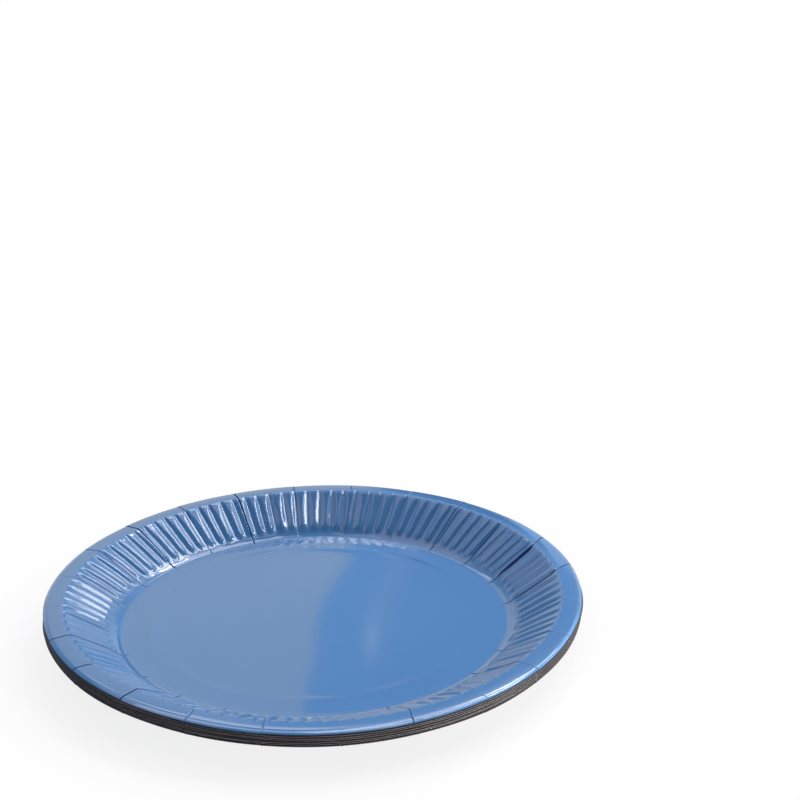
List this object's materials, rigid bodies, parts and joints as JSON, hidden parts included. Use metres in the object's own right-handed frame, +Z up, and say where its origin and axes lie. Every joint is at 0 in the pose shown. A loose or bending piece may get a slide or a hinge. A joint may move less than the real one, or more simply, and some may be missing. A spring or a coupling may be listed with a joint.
{
  "type": "stack of paper plates",
  "caption": "Stack of round pressed paper plates, nested one in another, each with a flat floor, a fluted wall, radial creases and a level brim with a turned-down edge.",
  "frame": {"origin": "centre of the stack's foot, on the underside of the lowest plate's floor", "axes": "+Z up through the middle of the plates, +X and +Y level; a crease of each plate lies along +X"},
  "size_m": [0.23, 0.23, 0.0196],
  "materials": {
    "blue_face": "glossy blue laminate on pressed board, the face of the top plate",
    "board": "dark grey-brown board, seen at the plates' cut edges and undersides"
  },
  "bodies": {
    "root": {"plate_1": "board", "plate_2": "board", "plate_3": "board", "plate_4": "board", "plate_5": "board", "plate_6": "board", "plate_7": "blue_face"}
  },
  "joints": []
}
